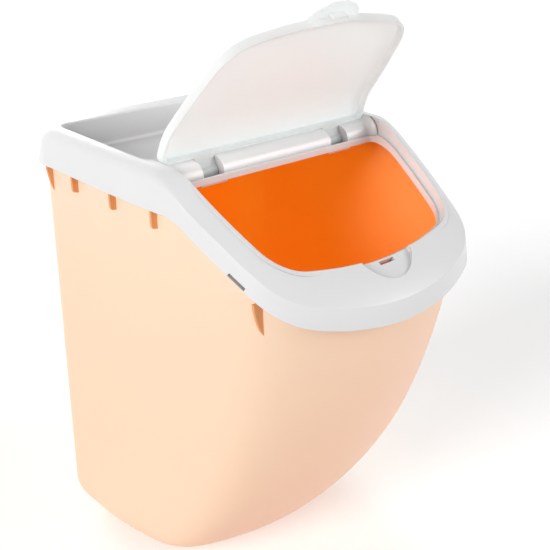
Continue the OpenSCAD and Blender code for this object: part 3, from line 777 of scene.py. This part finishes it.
def inside_material():
    """Inside of the tub, with painted light: deep orange and a faint glow for the light that comes
    through the walls, and paler on the right wall, where the key lamp falls.
    """
    n = moulded("tub_orange_painted_light", 0.0006, 0.4, 0.46)
    # Painted light: lighter orange on the left, deepest in the middle, and pale peach on the right
    # wall, where the key lamp falls.
    shade = n.ramp(n.span(n.axis(0), -0.105, 0.105),
                   (0.0, (0.99, 0.55, 0.05)), (0.3, (0.99, 0.42, 0.02)), (0.6, (0.97, 0.27, 0.004)),
                   (0.8, (0.95, 0.28, 0.012)), (1.0, (0.84, 0.43, 0.20)))
    colour = n.mix(n.span(n.soft, 0.3, 0.7, 0.0, 0.15), shade, (0.98, 0.34, 0.02))
    colour = n.mix(n.math("MULTIPLY", n.worn, 0.5), colour, (0.98, 0.6, 0.38))
    through = n.ramp(n.small, (0.3, (0.99, 0.43, 0.02)), (0.7, (0.99, 0.45, 0.03)))
    # Painted glow: the inside gives off a faint orange light of its own, for the light that comes
    # through the walls.
    body = n.plastic(colour, Specular_IOR_Level=0.35, Emission_Color=(1.0, 0.24, 0.0, 1.0),
                     Emission_Strength=0.27)
    return n.done(n.lit_through(0.52, body, through))


def lid_material():
    n = moulded("lid_frosted", 0.0006, 0.30, 0.36)
    colour = n.ramp(n.soft, (0.3, (0.955, 0.978, 0.975)), (0.7, (0.963, 0.986, 0.983)))
    colour = n.mix(n.math("MULTIPLY", n.worn, 0.4), colour, (0.95, 0.95, 0.95))
    return n.done(n.lit_through(0.5, n.plastic(colour, Specular_IOR_Level=0.5), colour))


def pin_material():
    n = moulded("pin_grey", 0.0003, 0.3, 0.45)
    colour = n.ramp(n.soft, (0.3, (0.60, 0.60, 0.60)), (0.7, (0.68, 0.68, 0.67)))
    colour = n.mix(n.math("MULTIPLY", n.worn, 0.4), colour, (0.8, 0.8, 0.8))
    return n.done(n.plastic(colour, Specular_IOR_Level=0.5))


piece(tub(), "tub_shell", "tub", "bin", "tub_plastic",
      tub_material(), inside_material(), rib_painted_shade_material())
piece(collar(), "collar_shell", "collar", "bin", "collar_plastic", collar_material())
piece(lid(), "lid_shell", "flip_lid", "lid", "lid_plastic", lid_material())
pin_grey = pin_material()
for name in ("hinge_pin_left", "hinge_pin_right"):
    node = frame["nodes"][name]
    node.data.materials.clear()
    node.data.materials.append(pin_grey)


# ---- floor, light and camera, in metres --------------------------------------------------------

FLOOR_HALF, FLOOR_Z, FLOOR_GLOW = 15.0, -0.0002, 0.30


def floor():
    """White floor that camera, mirror and through rays see lighter than it lights the object."""
    mesh = bpy.data.meshes.new("floor")
    corners = [(-1, -1), (1, -1), (1, 1), (-1, 1)]
    mesh.from_pydata([(x * FLOOR_HALF, y * FLOOR_HALF, FLOOR_Z) for x, y in corners], [],
                     [(0, 1, 2, 3)])
    obj = bpy.data.objects.new("floor", mesh)
    scene.collection.objects.link(obj)
    n = Nodes("floor_white")
    diffuse = n.add("ShaderNodeBsdfDiffuse")
    n.link(n.ramp(n.noise(3.0, 3.0), (0.3, (0.86, 0.86, 0.86)), (0.7, (0.88, 0.88, 0.88))),
           diffuse.inputs["Color"])
    path = n.add("ShaderNodeLightPath")
    seen = n.math("MAXIMUM", path.outputs["Is Camera Ray"],
                  n.math("MAXIMUM", path.outputs["Is Glossy Ray"],
                         path.outputs["Is Transmission Ray"]))
    glow = n.add("ShaderNodeEmission")
    n.link(n.math("MULTIPLY", seen, FLOOR_GLOW), glow.inputs["Strength"])
    both = n.add("ShaderNodeAddShader")
    n.link(diffuse.outputs["BSDF"], both.inputs[0])
    n.link(glow.outputs["Emission"], both.inputs[1])
    obj.data.materials.append(n.done(both.outputs["Shader"]))


def world(strength):
    """Even light from all round, seen as white by camera and mirror rays."""
    made = bpy.data.worlds.new("studio")
    scene.world = made
    made.use_nodes = True
    tree = made.node_tree
    tree.nodes.clear()
    out = tree.nodes.new("ShaderNodeOutputWorld")
    path = tree.nodes.new("ShaderNodeLightPath")
    seen = tree.nodes.new("ShaderNodeMath")
    seen.operation = "MAXIMUM"
    tree.links.new(path.outputs["Is Camera Ray"], seen.inputs[0])
    tree.links.new(path.outputs["Is Glossy Ray"], seen.inputs[1])
    choice = tree.nodes.new("ShaderNodeMixShader")
    tree.links.new(seen.outputs["Value"], choice.inputs["Fac"])
    for index, level in ((1, strength), (2, 1.0)):
        light = tree.nodes.new("ShaderNodeBackground")
        light.inputs["Color"].default_value = (1, 1, 1, 1)
        light.inputs["Strength"].default_value = level
        tree.links.new(light.outputs["Background"], choice.inputs[index])
    tree.links.new(choice.outputs["Shader"], out.inputs["Surface"])


def sun(name, towards, strength, spread):
    """Soft light from a direction, the same everywhere on the floor."""
    data = bpy.data.lights.new(name, "SUN")
    data.energy = strength
    data.angle = math.radians(spread)
    obj = bpy.data.objects.new(name, data)
    obj.location = Vector(towards) * 2
    obj.rotation_mode = "QUATERNION"
    obj.rotation_quaternion = (-Vector(towards)).to_track_quat("-Z", "Y")
    scene.collection.objects.link(obj)


# The photograph's camera: how far it is turned round the object, raised and rolled, its place, and
# its focal length in widths of the picture
CAMERA_TURN, CAMERA_RISE, CAMERA_ROLL = (math.radians(a) for a in (-43.62, 23.83, 1.39))
CAMERA_PLACE = (-0.47417, -0.50706, 0.52765)
CAMERA_FOCAL = 1012.78 / 550
SENSOR = 36.0


def camera():
    data = bpy.data.cameras.new("camera")
    data.sensor_width = SENSOR
    data.lens = SENSOR * CAMERA_FOCAL
    data.clip_start, data.clip_end = 0.01, 100.0
    back = Vector((math.sin(CAMERA_TURN) * math.cos(CAMERA_RISE),
                   -math.cos(CAMERA_TURN) * math.cos(CAMERA_RISE), math.sin(CAMERA_RISE)))
    right = Vector((math.cos(CAMERA_TURN), math.sin(CAMERA_TURN), 0))
    up = back.cross(right)
    c, s = math.cos(CAMERA_ROLL), math.sin(CAMERA_ROLL)
    right, up = right * c + up * s, up * c - right * s
    facing = Matrix((right, up, back)).transposed().to_quaternion()
    obj = bpy.data.objects.new("camera", data)
    obj.matrix_world = Matrix.LocRotScale(Vector(CAMERA_PLACE), facing, None)
    scene.collection.objects.link(obj)
    scene.camera = obj


floor()
world(0.30)
sun("key", (-0.90, -0.10, 0.38), 1.98, 24)
sun("fill", (0.66, -0.68, 0.30), 1.38, 35)
sun("back", (0.20, 0.96, 0.16), 3.1, 40)
camera()
scene.view_settings.view_transform = "Standard"
